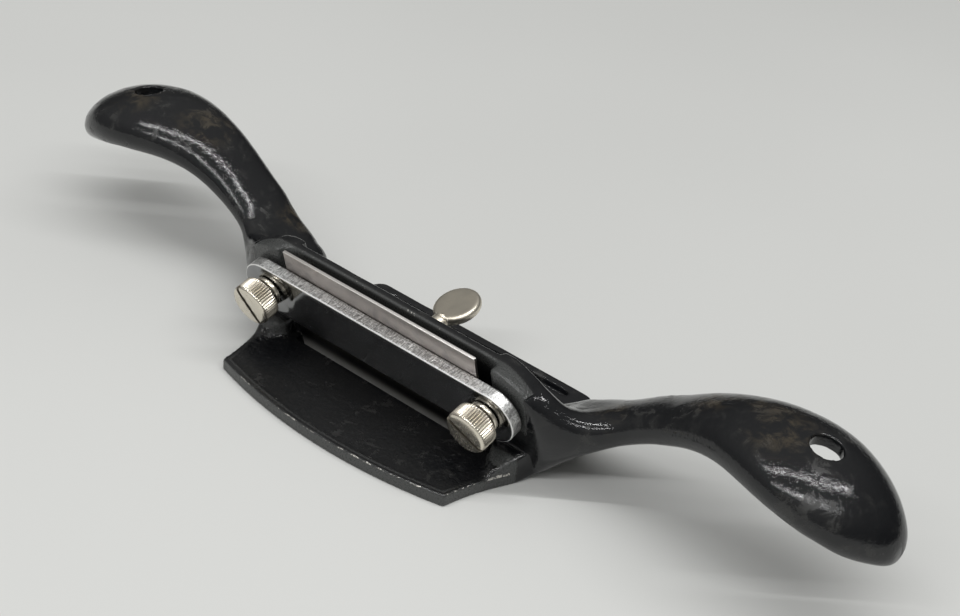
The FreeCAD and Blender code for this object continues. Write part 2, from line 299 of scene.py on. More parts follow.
def japanned_iron():
    """Old black japanning on cast iron: glossy orange peel, dust, a painted sheen on the toe, rubbed and chipped
    places.
    """
    s = Shader("japanned_iron")
    cloud = s.noise(11 * MM, 4, 0.6)
    smudge = s.noise(4.5 * MM, 5, 0.65, 0.6)
    grain = s.noise(0.40 * MM, 3, 0.6)
    wrinkle = s.noise(1.25 * MM, 3, 0.55, 1.2)
    chip = s.attribute("chip")
    crinkle = s.attribute("crinkle")
    flake = s.noise(0.7 * MM, 3, 0.7)
    bare = s.ramp(s.math("ADD", chip, s.math("MULTIPLY", flake, 0.55)), 0.92, 0.98)
    smears = s.math("MULTIPLY", s.ramp(smudge, 0.44, 0.70), s.ramp(cloud, 0.42, 0.62))
    # dust and painted sheen: the toe's face, border and sides are mixed towards a lighter grey that stands in for
    # the soft sheen they catch, on top of dust
    grainy_sheen_dust = s.math("MULTIPLY", s.attribute("sheen_dust_mask"), s.ramp(grain, 0.3, 0.7, 0.35, 1.0))
    dust_and_sheen = s.math("MAXIMUM", smears, grainy_sheen_dust)
    sheen_dust_colour = s.mix(dust_and_sheen, LACQUER, SHEEN_DUST_LACQUER)
    rub = s.math("MULTIPLY", s.attribute("rub"), s.ramp(smudge, 0.42, 0.66))
    # painted sheen: the toe's sides get a lighter grey still
    side = s.ramp(s.attribute("sheen_dust_mask"), 0.6, 1.0)
    painted = s.mix(rub, s.mix(side, sheen_dust_colour, PAINTED_SIDE_SHEEN), RUBBED_BROWN)
    colour = s.mix(bare, painted, BARE_IRON)
    worn_gloss = s.ramp(s.math("ADD", dust_and_sheen, rub), 0.0, 1.0, 0.07, 0.42)
    gloss = s.math("ADD", worn_gloss, s.ramp(cloud, 0.40, 0.75, -0.02, 0.06))
    rough = s.math("MAXIMUM", gloss, s.math("MULTIPLY", bare, 0.34))
    waves = s.math("MULTIPLY", wrinkle, s.ramp(crinkle, 0.0, 1.0, 0.5, 2.0))
    peel = s.bump(waves, 0.17 * MM, 0.8)
    fine = s.bump(grain, 0.012 * MM, 0.6, peel)
    return s.set(Base_Color=colour, Roughness=rough, Metallic=bare, Normal=fine)


def brushed_blade():
    """Spring steel with fine lengthwise grinding and a faint pinkish tarnish, with painted shade below the bar."""
    s = Shader("brushed_blade")
    lines = s.noise(1.0, 3, 0.6, vector=s.stretched((25, 2600, 2600)))
    stain = s.noise(7 * MM, 4, 0.6, 0.5)
    colour = s.mix(s.ramp(stain, 0.40, 0.72), STEEL_PINKISH, STEEL_STAINED)
    edge = s.attribute("edge")
    honed = s.attribute("honed")
    # painted shade: the blade below the bar is mixed towards near black for the bar's shadow
    dark = s.mix(s.attribute("bar_shade"), colour, PAINTED_BAR_SHADE)
    lower = s.mix(honed, dark, STEEL_HONED)
    bright = s.mix(edge, lower, STEEL_BURNISHED)
    rough = s.math("ADD", s.ramp(lines, 0.3, 0.7, 0.28, 0.40), s.math("MULTIPLY", honed, 0.12))
    metal = s.ramp(honed, 0.0, 1.0, 1.0, 0.25)
    return s.set(Base_Color=bright, Roughness=rough, Metallic=metal,
                 Normal=s.bump(lines, 0.012 * MM, 0.5))


def clamp_steel():
    """Polished bar face with handling marks, and bright sheared edges."""
    s = Shader("clamp_steel")
    sheared = s.attribute("sheared")
    cloud = s.noise(6 * MM, 4, 0.6, 0.4)
    scratch = s.noise(1.0, 2, 0.6, vector=s.stretched((60, 1500, 1500), (0, 0.25, 0)))
    pits = s.noise(0.5 * MM, 3, 0.65)
    face = s.mix(s.ramp(cloud, 0.45, 0.75), STEEL_POLISHED, STEEL_CLOUDED)
    ridges = s.noise(1.0, 2, 0.6, vector=s.stretched((2300, 420, 420)))
    scuffed = s.math("MULTIPLY", s.ramp(pits, 0.28, 0.55), s.ramp(ridges, 0.36, 0.54, 0.35, 1.0))
    cut = s.mix(scuffed, STEEL_CUT, STEEL_BRIGHT)
    # painted highlight: the rounded front rim of the bar is near white and rougher, a bright line round its face
    lip = s.attribute("lip")
    colour = s.mix(lip, s.mix(sheared, face, cut), PAINTED_LIP_HIGHLIGHT)
    face_rough = s.math("ADD", s.ramp(cloud, 0.35, 0.8, 0.10, 0.22), s.ramp(scratch, 0.55, 0.75, 0.0, 0.08))
    rough = s.math("ADD", face_rough, s.math("MULTIPLY", s.math("ADD", sheared, lip), 0.20))
    relief = s.math("MULTIPLY", s.math("ADD", pits, ridges), sheared)
    return s.set(Base_Color=colour, Roughness=rough, Metallic=1.0, Normal=s.bump(relief, 0.09 * MM, 0.8))


def warm_nickel(name, satin):
    """Worn nickel plate, browner in its hollows."""
    s = Shader(name)
    hollow = s.attribute("hollow")
    cloud = s.noise(3.5 * MM, 4, 0.6, 0.4)
    fine = s.noise(0.35 * MM, 3, 0.6)
    plate = s.mix(s.ramp(cloud, 0.45, 0.80, 0.0, 0.35), NICKEL_WARM, NICKEL_TARNISHED)
    colour = s.mix(s.math("MULTIPLY", hollow, 0.8), plate, NICKEL_GRIME)
    polish = s.ramp(cloud, 0.3, 0.8, 0.20 + satin, 0.32 + satin)
    rough = s.math("ADD", polish, s.math("MULTIPLY", hollow, 0.25))
    brush = s.noise(1.0, 3, 0.6, vector=s.stretched((2400, 300, 300), (0, 0.5, 0.4)))
    grain = s.bump(fine, 0.012 * MM, 0.35)
    brushed = s.bump(brush, 0.012 * MM, satin * 4, grain)
    return s.set(Base_Color=colour, Roughness=rough, Metallic=1.0, Normal=brushed)


def pale_floor():
    s = Shader("pale_floor")
    drift = s.noise(0.35, 2, 0.5)
    colour = s.mix(s.ramp(drift, 0.35, 0.65), FLOOR_PALE, FLOOR_PALER)
    return s.set(Base_Color=colour, Roughness=0.62)


# ---------------------------------------------------------------- places taken from the frame


def points_of(node):
    return coordinates(frame["nodes"][node].data)


def extent(node, direction):
    along = points_of(node) @ np.array(direction)
    return along.min(), along.max()


BLADE_BACK = extent("scraper_blade", BACK)
BLADE_MID = sum(BLADE_BACK) / 2
BLADE_FOOT_UP = -BLADE_MID * math.tan(math.asin(-UP.y))


def behind(co):
    """How far each point stands behind the blade's mid-plane."""
    return co @ np.array(BACK) - BLADE_MID


def height(co):
    """How far up the blade's plane each point is, from the sole."""
    return co @ np.array(UP) - BLADE_FOOT_UP


def axis_distance(co, joint):
    """Distance of each point from a joint's axis."""
    away = co - np.array(JOINTS[joint]["pos_m"])
    axis = np.array(JOINTS[joint]["axis"])
    return np.linalg.norm(away - np.outer(away @ axis, axis), axis=1)


# ---------------------------------------------------------------- cast body

SKIN_VOXEL = 0.45 * MM
SKIN_EASE_ROUNDS = 3     # takes the voxel steps out of the whole skin
HOLE_SLACK = 0.03 * MM
THREADED_HOLES = ("clamp_screw_left_turn", "clamp_screw_right_turn", "bow_screw_turn")

TOE_REAR_Y = -9.9 * MM
TOE_NOSE_Y = -25 * MM    # forward of this the toe is one plain plate
TOE_EDGE_R = 0.30 * MM
TOE_EDGE_REACH = (1.4 * MM, 2.4 * MM)   # inside the rim, where the even edge fades out
TOE_FLAT_FRONT = (18.0 * MM, 20.0 * MM)
EDGE_WEAR_IN = (0.15 * MM, 0.75 * MM)
EDGE_WEAR_DOWN = (0.7 * MM, 0.25 * MM)
TOE_BORDER_W = 2.3 * MM
TOE_BORDER_EASE = 0.30 * MM
TOE_BORDER_LINE = 0.25 * MM
TOE_FIELD_DEPTH = 0.13 * MM
FIELD_FRONT = (7.4 * MM, 8.4 * MM)
FIELD_TOP_Z = (3.7 * MM, 4.3 * MM)
TOE_FACE_Z = (2.5 * MM, 6 * MM)
TOE_FACE_Y = -6 * MM
TOE_FACE_UPWARD = 0.6    # how squarely the toe's face looks up

# Zones of the casting. Each pair is where the zone starts and where it is full: X counts from
# the middle outwards, FRONT forwards, REAR back from the blade, R from the bow screw's axis. An END
# pair is where the zone fades out.
OFF_SOLE_Z = (0.3 * MM, 2.0 * MM)
OFF_BED_REAR = (1.2 * MM, 3.0 * MM)
PAST_BAR_X = (51 * MM, 54 * MM)
NECK_X = (40 * MM, 46 * MM)
NECK_END_X = (72 * MM, 86 * MM)
FLOW_X = (49 * MM, 54 * MM)
FLOW_END_X = (70 * MM, 80 * MM)
CHEEK_X = (50 * MM, 55 * MM)
CHEEK_END_X = (62 * MM, 74 * MM)
CHEEK_Y = (8 * MM, 19 * MM)
CHEEK_Z = (9 * MM, 14 * MM)
BOSS_END_R = (8 * MM, 12 * MM)
WALL_FOOT_Z = (2.2 * MM, 3.4 * MM)
WALL_FOOT_END_Z = (7 * MM, 13 * MM)
WALL_REAR = (6 * MM, 8 * MM)
PAD_X = (33 * MM, 37 * MM)
PAD_END_X = (56 * MM, 60 * MM)
PAD_Z = (3.0 * MM, 4.4 * MM)
PAD_FRONT = (6.5 * MM, 8.5 * MM)
MACHINED_END_Z = (0.2 * MM, 0.9 * MM)
TOE_FRONT = (7.2 * MM, 9 * MM)
TOE_HALF_X = 50 * MM
TOE_SIDE_Z = (0.02 * MM, 0.2 * MM)
OFF_RIM = (0.6 * MM, 1.8 * MM)
CRINKLED_X = (20 * MM, 36 * MM)
CRINKLED_FRONT = (7 * MM, 10 * MM)
CRINKLED_END_FRONT = (20 * MM, 28 * MM)
WALL_RIM_Z = (24 * MM, 30 * MM)
WALL_HALF_X = 58 * MM

NECK_FILL_ROUNDS = 260
NECK_EASE_ROUNDS = 26
FLOW_ROUNDS = 110        # smoothing that runs the pillars into the necks
FLOW_PLUMP = 0.55 * MM   # what that smoothing takes off, given back
CHEEK_TRIM = 1.9 * MM    # how far the cheeks' rear edges are drawn in beside the necks
BOSS_EASE_ROUNDS = 14
PAD_FILL_ROUNDS = 80
PAD_EASE_ROUNDS = 24
# the rib that sweeps from each pillar's top into the neck: x, y, top of the rib, radius (mm)
RIB = [(49, -5.4, 30.6, 4.0), (52, -4.6, 28.4, 4.2), (55, -3.2, 26.0, 4.3), (58, -0.8, 24.4, 4.3),
       (61, 2.0, 23.8, 4.1), (64, 5.0, 24.4, 3.8), (68, 8.4, 26.4, 3.4)]
RIB_STEPS = 4

LUMP_DEPTH = 0.10 * MM
SKIN_GRAIN = 0.010 * MM      # crinkles of the japanning, on the whole casting
TOE_GRAIN = 0.028 * MM       # and on the toe's face
CORNER_GRAIN = 0.12 * MM     # deeper still in its two rear corners
# bare metal shows where this level and the material's flakes add up to enough
TOE_EDGE_WEAR = 0.62
RIGHT_EDGE_WEAR = 0.05
BORDER_WEAR = 0.59
WALL_RIM_WEAR = 0.55
RUB_STRENGTH = 0.55
# rubbed brown patches on the japanning: centre (mm), reach (mm)
RUBBED = [
    ((104, 17, 43), 9), ((112, 8, 45), 12), ((66, 8, 22), 8), ((90, 14, 40), 9),
    ((-120, 5, 44), 10), ((-62, 17, 24), 8), ((-96, 12, 43), 12), ((-132, 12, 38), 9),
]


def toe_outline():
    """The toe's edge on the sole, from one shoulder round the nose to the other."""
    pts = points_of("body_casting")
    low = pts[(pts[:, 2] < 0.01 * MM) & (pts[:, 1] < TOE_REAR_Y)][:, :2]
    low = np.unique(np.round(low, 6), axis=0)
    return low[np.argsort(np.arctan2(low[:, 0], -low[:, 1]))]


def toe_thickness():
    pts = points_of("body_casting")
    return pts[pts[:, 1] < TOE_NOSE_Y][:, 2].max()


def inside_edge(xy, line):
    """How far inside an open outline each point is, and the outward direction there."""
    inside = np.full(len(xy), 1.0)
    outward = np.zeros((len(xy), 2))
    for a, b in zip(line, line[1:]):
        run = b - a
        if np.linalg.norm(run) < 1e-9:
            continue
        t = np.clip((xy - a) @ run / (run @ run), 0, 1)
        away = xy - a - t[:, None] * run
        gap = np.linalg.norm(away, axis=1)
        normal = np.array((run[1], -run[0])) / np.linalg.norm(run)
        near = gap < np.abs(inside)
        inside[near] = (-gap * np.sign(away @ normal))[near]
        outward[near] = normal
    return inside, outward


def crisp_toe(co, top):
    """Draws the skin near the toe's rim onto a plate with a small even edge radius.

    Returns the new points and how close each is to the plate's upper edge, 0 to 1.
    """
    near = (co[:, 1] < TOE_REAR_Y) & (co[:, 2] < top + 2 * TOE_EDGE_R)
    inside, outward = inside_edge(co[near, :2], toe_outline())
    z = co[near, 2]
    middle = top / 2
    across = TOE_EDGE_R - inside
    upright = np.abs(z - middle) - middle + TOE_EDGE_R
    corner = (across > 0) & (upright > 0)
    size = np.maximum(np.hypot(across, upright), 1e-9)
    out_move = np.where(corner, across * (TOE_EDGE_R / size - 1), 0)
    up_move = np.where(corner, upright * (TOE_EDGE_R / size - 1), 0)
    on_side = ~corner & (across > upright)
    out_move = np.where(on_side, TOE_EDGE_R - across, out_move)
    up_move = np.where(~corner & ~on_side, TOE_EDGE_R - upright, up_move)
    share = 1 - smooth_step(inside, *TOE_EDGE_REACH)
    flat_part = smooth_step(-co[near, 1], *TOE_FLAT_FRONT)
    co[near, :2] += outward * (out_move * share)[:, None]
    co[near, 2] += np.sign(z - middle) * up_move * share * flat_part
    lowest, highest = EDGE_WEAR_DOWN
    upper_edge = np.zeros(len(co))
    upper_edge[near] = 1 - smooth_step(inside, *EDGE_WEAR_IN)
    upper_edge[near] *= smooth_step(z, top - lowest, top - highest)
    return co, upper_edge


def bore_radius(joint):
    """Radius of the casting's threaded hole round a joint's axis."""
    return axis_distance(points_of("body_casting"), joint).min()


def clear_bore(co, joint, radius):
    """Pushes the skin out of a threaded hole, which smoothing draws in."""
    axis = np.array(JOINTS[joint]["axis"])
    base = np.array(JOINTS[joint]["pos_m"])
    away = co - base
    along = np.outer(away @ axis, axis)
    radial = away - along
    size = np.linalg.norm(radial, axis=1)
    inside = size < radius
    push = radial[inside] * (radius / size[inside])[:, None]
    co[inside] = base + along[inside] + push
    return co


def add_ribs(bm):
    """Overlapping balls along both ribs, which the voxel skin joins to the casting."""
    for side in (-1, 1):
        for here, there in zip(RIB, RIB[1:]):
            for i in range(RIB_STEPS):
                x, y, crest, radius = (a + (b - a) * i / RIB_STEPS for a, b in zip(here, there))
                place = Matrix.Translation(Vector((side * x, y, crest - radius)) * MM)
                bmesh.ops.create_icosphere(bm, subdivisions=3, radius=radius * MM, matrix=place)


def fade_between(values, start, end):
    """Rises to 1 over the start pair, and falls back to 0 over the end pair."""
    return smooth_step(values, *start) * (1 - smooth_step(values, *end))


def round_corners(mesh, co, edges):
    """Rounds the skin as a casting is rounded, clear of the sole and the blade's bed."""
    x = np.abs(co[:, 0])
    y = co[:, 1]
    z = co[:, 2]
    rearward = behind(co)
    off_sole = smooth_step(z, *OFF_SOLE_Z)
    clear = np.maximum(smooth_step(rearward, *OFF_BED_REAR), smooth_step(x, *PAST_BAR_X))
    co = relax(co, edges, np.full(len(co), EASE), SKIN_EASE_ROUNDS)
    neck = fade_between(x, NECK_X, NECK_END_X) * off_sole * clear
    co = fillet(mesh, co, edges, EASE * neck, NECK_FILL_ROUNDS)
    co = relax(co, edges, EASE * neck, NECK_EASE_ROUNDS)
    flow = fade_between(x, FLOW_X, FLOW_END_X) * off_sole * clear
    co = relax(co, edges, EASE * flow, FLOW_ROUNDS)
    co = co + vertex_normals(mesh, co) * (FLOW_PLUMP * flow)[:, None]
    cheek = fade_between(x, CHEEK_X, CHEEK_END_X) * smooth_step(y, *CHEEK_Y) * smooth_step(z, *CHEEK_Z)
    co[:, 1] -= CHEEK_TRIM * cheek
    boss = 1 - smooth_step(axis_distance(co, "bow_screw_turn"), *BOSS_END_R)
    wall_foot = fade_between(z, WALL_FOOT_Z, WALL_FOOT_END_Z)
    rear = smooth_step(rearward, *WALL_REAR)
    co = relax(co, edges, EASE * rear * np.maximum(boss, wall_foot), BOSS_EASE_ROUNDS)
    pad = smooth_step(x, *PAD_X) * smooth_step(z, *PAD_Z)
    pad = pad * smooth_step(-y, *PAD_FRONT) * (1 - smooth_step(x, *PAD_END_X))
    co = fillet(mesh, co, edges, EASE * pad, PAD_FILL_ROUNDS)
    return relax(co, edges, EASE * pad, PAD_EASE_ROUNDS)


def toe_face(co, normals):
    """Which points are on the toe's upper face, and how far inside its rim those are."""
    low, high = TOE_FACE_Z
    flat = (normals[:, 2] > TOE_FACE_UPWARD) & (co[:, 1] < TOE_FACE_Y)
    toe_top = flat & (co[:, 2] < high) & (co[:, 2] > low)
    rim = np.full(len(co), 1.0)
    rim[toe_top] = inside_edge(co[toe_top, :2], toe_outline())[0]
    return toe_top, rim


def sunk_field(co, toe_top, rim):
    """The toe's face inside its border, 0 to 1, short of the ground that rises to the wall."""
    field = smooth_step(rim, TOE_BORDER_W - TOE_BORDER_EASE, TOE_BORDER_W + TOE_BORDER_EASE) * toe_top
    field = field * (1 - smooth_step(co[:, 2], *FIELD_TOP_Z))
    return field * smooth_step(-co[:, 1], *FIELD_FRONT)


def brown_rubbing(co):
    rub = np.zeros(len(co))
    for centre, reach in RUBBED:
        away = np.linalg.norm(co - np.array(centre) * MM, axis=1)
        rub = np.maximum(rub, 1 - smooth_step(away, 0.2 * reach * MM, reach * MM))
    return RUB_STRENGTH * rub


def cast_body(material):
    """The casting with rounded cast corners, a toe border, lumps and crinkled japanning."""
    bm = welded_copy("body_casting")
    add_ribs(bm)
    piece = object_from_bmesh("cast_body", bm)
    voxel_skin(piece, SKIN_VOXEL)
    mesh = piece.data
    raw = coordinates(mesh)
    edges = edge_pairs(mesh)
    co = round_corners(mesh, raw, edges)
    co, upper_edge = crisp_toe(co, toe_thickness())
    for joint in THREADED_HOLES:
        co = clear_bore(co, joint, bore_radius(joint) + HOLE_SLACK)
    normals = vertex_normals(mesh, co)
    convex = np.einsum("ij,ij->i", co - neighbour_mean(co, edges), normals) / SKIN_VOXEL

    # the toe's face, its sides, and the two rear corners where its japanning crinkled most
    x = np.abs(raw[:, 0])
    z = raw[:, 2]
    toe_top, rim = toe_face(co, normals)
    on_toe = smooth_step(-co[:, 1], *TOE_FRONT) * (x < TOE_HALF_X) * smooth_step(z, *TOE_SIDE_Z)
    on_face = on_toe * toe_top * smooth_step(rim, *OFF_RIM)
    on_side = on_toe * (1 - toe_top)
    front = -raw[:, 1]
    corner = smooth_step(x, *CRINKLED_X) * smooth_step(front, *CRINKLED_FRONT)
    corner = corner * (1 - smooth_step(front, *CRINKLED_END_FRONT)) * on_toe

    # unevenness of the casting and crinkles of the japanning, away from the machined faces
    off_bed = smooth_step(behind(raw), *OFF_BED_REAR)
    free = 1 - np.maximum(1 - smooth_step(z, *MACHINED_END_Z), 1 - off_bed)
    lumps = LUMP_DEPTH * noise_field(co, 9 * MM) * np.maximum(free * (1 - on_toe), on_face)
    ridged = 1 - 2 * np.abs(noise_field(co, 2.2 * MM, 3, 4.0))
    depth = SKIN_GRAIN * free * (1 - on_side) + on_face * (TOE_GRAIN + CORNER_GRAIN * corner)
    rise = lumps + depth * ridged - TOE_FIELD_DEPTH * sunk_field(co, toe_top, rim)
    co = co + normals * rise[:, None]
    cad = points_of("body_casting")
    co = np.clip(co, cad.min(axis=0), cad.max(axis=0))
    vertex_normals(mesh, co)

    # bare metal on worn edges, and brown rubbing on the grips
    patch = noise_field(co, 6 * MM, 2, 9.0)
    speck = noise_field(co, 1.6 * MM, 2, 21.0)
    right_toe = smooth_step(co[:, 0], 34 * MM, 43 * MM)
    worn = 0.12 * patch + 0.08 * speck + 0.04 * smooth_step(co[:, 0], -25 * MM, 5 * MM)
    toe_edge = upper_edge * (TOE_EDGE_WEAR + RIGHT_EDGE_WEAR * right_toe + worn)
    border_line = np.exp(-((rim - TOE_BORDER_W) / TOE_BORDER_LINE) ** 2) * toe_top * (BORDER_WEAR + worn)
    wall_rim = smooth_step(convex, 0.03, 0.09) * smooth_step(z, *WALL_RIM_Z) * (x < WALL_HALF_X)
    wall_rim = wall_rim * (WALL_RIM_WEAR + 0.12 * patch + 0.08 * speck)
    chip = np.maximum(np.maximum(toe_edge, border_line), wall_rim)
    border = (1 - smooth_step(rim, 0.5 * TOE_BORDER_W, TOE_BORDER_W)) * toe_top
    # dust and painted sheen: the toe's sides, border and face get a lighter, duller grey, partly dust and partly a
    # painted stand-in for the sheen they catch
    sheen_dust_mask = on_side + 0.5 * border + 0.5 * on_face * (1 - corner)
    store_attribute(mesh, "chip", np.clip(chip, 0, 1))
    store_attribute(mesh, "crinkle", np.clip(corner + 0.8 * on_face, 0, 1))
    store_attribute(mesh, "sheen_dust_mask", np.clip(sheen_dust_mask, 0, 1))
    store_attribute(mesh, "rub", brown_rubbing(co))
    shade_smooth(piece)
    finish_piece(piece, "body", "body_casting", material)
    return piece


# ---------------------------------------------------------------- blade and clamp bar

BLADE_BEVEL = 0.12 * MM
BLADE_BRIGHT = 0.35 * MM
HONED_FROM = 0.8 * MM
HONED_TOP = 6.5 * MM
BAR_TOP_STEPS = 300
BAR_ARC_STEPS = 40
BAR_ROUND = 0.35 * MM
BAR_SHEAR_DEPTH = 0.09 * MM


def scraper_blade(material):
    """The blade with eased edges and a bright burnished top."""
    bm = welded_copy("scraper_blade")
    bmesh.ops.dissolve_limit(bm, angle_limit=0.01, verts=bm.verts, edges=bm.edges)
    bmesh.ops.bevel(bm, geom=bm.edges[:], offset=BLADE_BEVEL, segments=3, affect="EDGES", profile=0.5)
    top = extent("scraper_blade", UP)[1]
    cut = UP * (top - BLADE_BRIGHT)
    cuts = [cut] + [UP * (BLADE_FOOT_UP + HONED_TOP * i / 6) for i in range(1, 7)]
    for place in cuts:
        whole = bm.verts[:] + bm.edges[:] + bm.faces[:]
        bmesh.ops.bisect_plane(bm, geom=whole, plane_co=place, plane_no=UP)
    piece = object_from_bmesh("blade_steel_piece", bm)
    high = coordinates(piece.data) @ np.array(UP)
    store_attribute(piece.data, "edge", (high > top - BLADE_BRIGHT * 0.8).astype(float))
    up = height(coordinates(piece.data))
    store_attribute(piece.data, "honed", 1 - smooth_step(up, HONED_FROM, HONED_TOP))
    # painted shade: the blade is darkened from the sole up to the bar's lower edge, fading over 3 mm above it; the
    # honed colour still covers the lowest part
    bar_low = extent("clamp_bar", UP)[0]
    under_bar = height(np.array([UP * bar_low]) + BLADE_MID * np.array(BACK))[0]
    store_attribute(piece.data, "bar_shade", 1 - smooth_step(up, under_bar, under_bar + 3 * MM))
    shade_smooth(piece, 40)
    finish_piece(piece, "blade", "scraper_blade", material)
    return piece


def stadium(half_length, half_height, inset):
    """Points round a round-ended bar, drawn in by inset: (along x, up)."""
    r = half_height - inset
    reach = half_length - half_height
    top = [(reach - 2 * reach * i / BAR_TOP_STEPS, r) for i in range(BAR_TOP_STEPS)]
    left = [(-reach - r * math.sin(a), r * math.cos(a))
            for a in (math.pi * i / BAR_ARC_STEPS for i in range(BAR_ARC_STEPS))]
    bottom = [(-x, -h) for x, h in top]
    right = [(-x, -h) for x, h in left]
    return top + left + bottom + right


def ring_of(bm, matrix, outline, depth):
    return [bm.verts.new(matrix @ Vector((x, h, depth))) for x, h in outline]


def bridge(bm, ring_a, ring_b):
    for i in range(len(ring_a)):
        j = (i + 1) % len(ring_a)
        bm.faces.new((ring_a[i], ring_a[j], ring_b[j], ring_b[i]))


def circle(centre, radius, steps):
    return [(centre[0] + radius * math.cos(2 * math.pi * i / steps),
             centre[1] + radius * math.sin(2 * math.pi * i / steps)) for i in range(steps)]


def fill_with_holes(bm, outer, holes, flat_outer, flat_holes):
    """Triangulates the flat face between an outer ring and round holes."""
    verts = outer + [v for ring in holes for v in ring]
    flat = [Vector(p) for p in flat_outer] + [Vector(p) for ring in flat_holes for p in ring]
    links = []
    start = 0
    for ring in [outer] + holes:
        count = len(ring)
        links += [(start + i, start + (i + 1) % count) for i in range(count)]
        start += count
    faces = delaunay_2d_cdt(flat, links, [], 1, 1e-9)[2]
    centres = [sum((Vector(p) for p in ring), Vector((0, 0))) / len(ring) for ring in flat_holes]
    radii = [(Vector(ring[0]) - c).length for ring, c in zip(flat_holes, centres)]
    for tri in faces:
        middle = (flat[tri[0]] + flat[tri[1]] + flat[tri[2]]) / 3
        if all((middle - c).length > r for c, r in zip(centres, radii)):
            bm.faces.new([verts[i] for i in tri])


def clamp_bar(material):
    """Round-ended bar: polished faces, rough sheared edge, two clearance holes."""
    half_length = extent("clamp_bar", X_AXIS)[1]
    low, high = extent("clamp_bar", UP)
    front, rear = extent("clamp_bar", BACK)
    half_height = (high - low) / 2
    thick = rear - front
    matrix = lean_matrix(UP * ((low + high) / 2) + BACK * front)
    hole_x = abs(JOINTS["clamp_screw_right_turn"]["pos_m"][0])
    hole_r = axis_distance(points_of("clamp_bar"), "clamp_screw_right_turn").min()
    rings = [(1.2 * MM, 0.0), (BAR_ROUND, 0.0)]
    for i in range(1, 5):
        a = math.pi / 2 * i / 4
        rings.append((BAR_ROUND * (1 - math.sin(a)), BAR_ROUND * (1 - math.cos(a))))
    middle = [(0.0, BAR_ROUND + (thick - 2 * BAR_ROUND) * i / 8) for i in range(1, 8)]
    rings = rings + middle + [(inset, thick - depth) for inset, depth in reversed(rings)]
    bm = bmesh.new()
    made = []
    for inset, depth in rings:
        made.append(ring_of(bm, matrix, stadium(half_length, half_height, inset), -depth))
    for a, b in zip(made, made[1:]):
        bridge(bm, a, b)
    flat = stadium(half_length, half_height, rings[0][0])
    hole_rings = []
    for sx in (-1, 1):
        mouth = circle((sx * hole_x, 0), hole_r, 48)
        lip = circle((sx * hole_x, 0), hole_r + 0.2 * MM, 48)
        walls = [ring_of(bm, matrix, lip, 0), ring_of(bm, matrix, mouth, -0.2 * MM),
                 ring_of(bm, matrix, mouth, 0.2 * MM - thick), ring_of(bm, matrix, lip, -thick)]
        for a, b in zip(walls, walls[1:]):
            bridge(bm, a, b)
        hole_rings.append((walls, lip))
    lips = [lip for _, lip in hole_rings]
    fill_with_holes(bm, made[0], [walls[0] for walls, _ in hole_rings], flat, lips)
    fill_with_holes(bm, made[-1], [walls[-1] for walls, _ in hole_rings], flat, lips)

    # the sheared edge all round: upright shear marks, deepest midway through the bar's thickness
    inverse = matrix.inverted()
    for ring, (inset, depth) in zip(made, rings):
        if inset > 0:
            continue
        for v in ring:
            local = inverse @ v.co
            marks = noise.noise(Vector((local.x / (0.42 * MM), local.y / (3 * MM), depth / (2.6 * MM))))
            pits = noise.noise(v.co / (0.9 * MM))
            across = min(1.0, 2.2 * min(depth, thick - depth) / thick)
            cut = BAR_SHEAR_DEPTH * across * max(0.0, 0.45 + 0.9 * marks + 0.5 * pits)
            share = max(-1, min(1, local.x / half_length))
            outward = Vector((local.x - share * (half_length - half_height), local.y, 0))
            if abs(local.x) < half_length - half_height:
                outward = Vector((0, local.y, 0))
            v.co = matrix @ (local - outward.normalized() * cut)
    piece = object_from_bmesh("clamp_bar_piece", bm)
    co = coordinates(piece.data)
    depth = co @ np.array(BACK) - front
    sheared = np.zeros(len(co))
    sheared[np.minimum(depth, thick - depth) > 0.04 * MM] = 1.0
    hole_gaps = [axis_distance(co, "clamp_screw_" + side + "_turn") for side in ("left", "right")]
    near_hole = np.minimum(*hole_gaps)
    sheared[near_hole < hole_r + 0.5 * MM] = 0.0
    store_attribute(piece.data, "sheared", sheared)
    # painted highlight: marks the rounded front rim, away from the holes
    lip = (depth > 0.02 * MM) & (depth < BAR_ROUND * 0.9) & (near_hole > hole_r + 0.5 * MM)
    store_attribute(piece.data, "lip", lip.astype(float))
    shade_smooth(piece, 50)
    finish_piece(piece, "bar", "clamp_bar", material)
    return piece


# ---------------------------------------------------------------- screws

KNURLS = 50
STEPS_PER_KNURL = 6
KNURL_DEPTH = 0.32 * MM
COLLAR_R = 4.6 * MM
COLLAR_GROOVE_R = 4.2 * MM
COLLAR_L = 2.7 * MM
SLOT_W = 1.3 * MM
SLOT_DEPTH = 1.5 * MM
SLOT_LEANS = {"left": math.radians(35), "right": math.radians(61)}
THREAD_DEPTH = 0.42 * MM
BOW_PITCH = 1.0 * MM


def lathe(bm, profile, steps, radius_at=None):
    """Turned shell from (radius, z) points, closed on the axis at both ends."""
    rings = []
    for r, z in profile[1:-1]:
        ring = []
        for i in range(steps):
            ang = 2 * math.pi * i / steps
            size = radius_at(r, z, ang) if radius_at else r
            ring.append(bm.verts.new((size * math.cos(ang), size * math.sin(ang), z)))
        rings.append(ring)
    for a, b in zip(rings, rings[1:]):
        bridge(bm, a, b)
    for ring, (_, z) in ((rings[0], profile[0]), (rings[-1], profile[-1])):
        tip = bm.verts.new((0, 0, z))
        for i in range(steps):
            bm.faces.new((ring[i], ring[(i + 1) % steps], tip))


def threaded_rod(bm, radius, pitch, z0, z1):
    """Screw thread along z, fading into plain ends."""
    turns = (z1 - z0) / pitch
    rows = int(turns * 8)

    def radius_at(r, z, ang):
        phase = (z / pitch - ang / (2 * math.pi)) % 1.0
        valley = abs(2 * phase - 1)
        fade = min(1.0, min(z - z0, z1 - z) / pitch)
        return r - THREAD_DEPTH * max(0.0, fade) * (1 - valley) ** 0.8

    body = [(radius, z0 + (z1 - z0) * i / rows) for i in range(rows + 1)]
    lathe(bm, [(0, z0), (radius * 0.8, z0)] + body + [(radius * 0.8, z1), (0, z1)], 48, radius_at)


